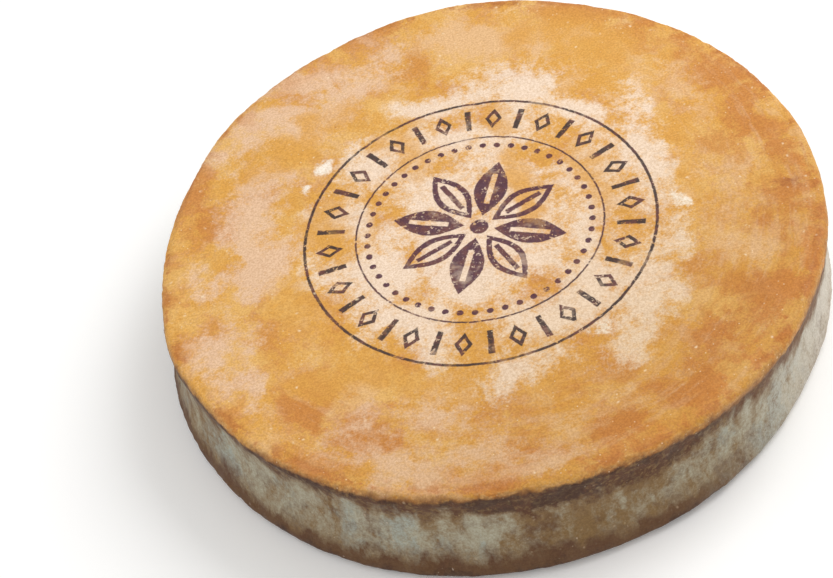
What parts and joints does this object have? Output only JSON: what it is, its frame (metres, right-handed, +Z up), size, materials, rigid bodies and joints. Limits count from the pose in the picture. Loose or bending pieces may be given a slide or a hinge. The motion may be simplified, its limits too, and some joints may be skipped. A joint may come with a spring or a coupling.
{
  "type": "fontina cheese wheel",
  "caption": "Low round wheel of washed-rind mountain cheese, whole and uncut, with rounded rims and a side that draws in at mid height.",
  "frame": {"origin": "on the resting plane, under the middle of the wheel's bounding box", "axes": "+Z up along the wheel's short axis, -Y towards the side that is seen first, +X to the right of it"},
  "size_m": [0.4036, 0.4046, 0.0728],
  "materials": {
    "rind": "dry washed rind, golden orange with pale bloom on the upper face, brown under grey-white bloom on the side"
  },
  "bodies": {
    "root": {"cheese_wheel": "rind"}
  },
  "joints": []
}
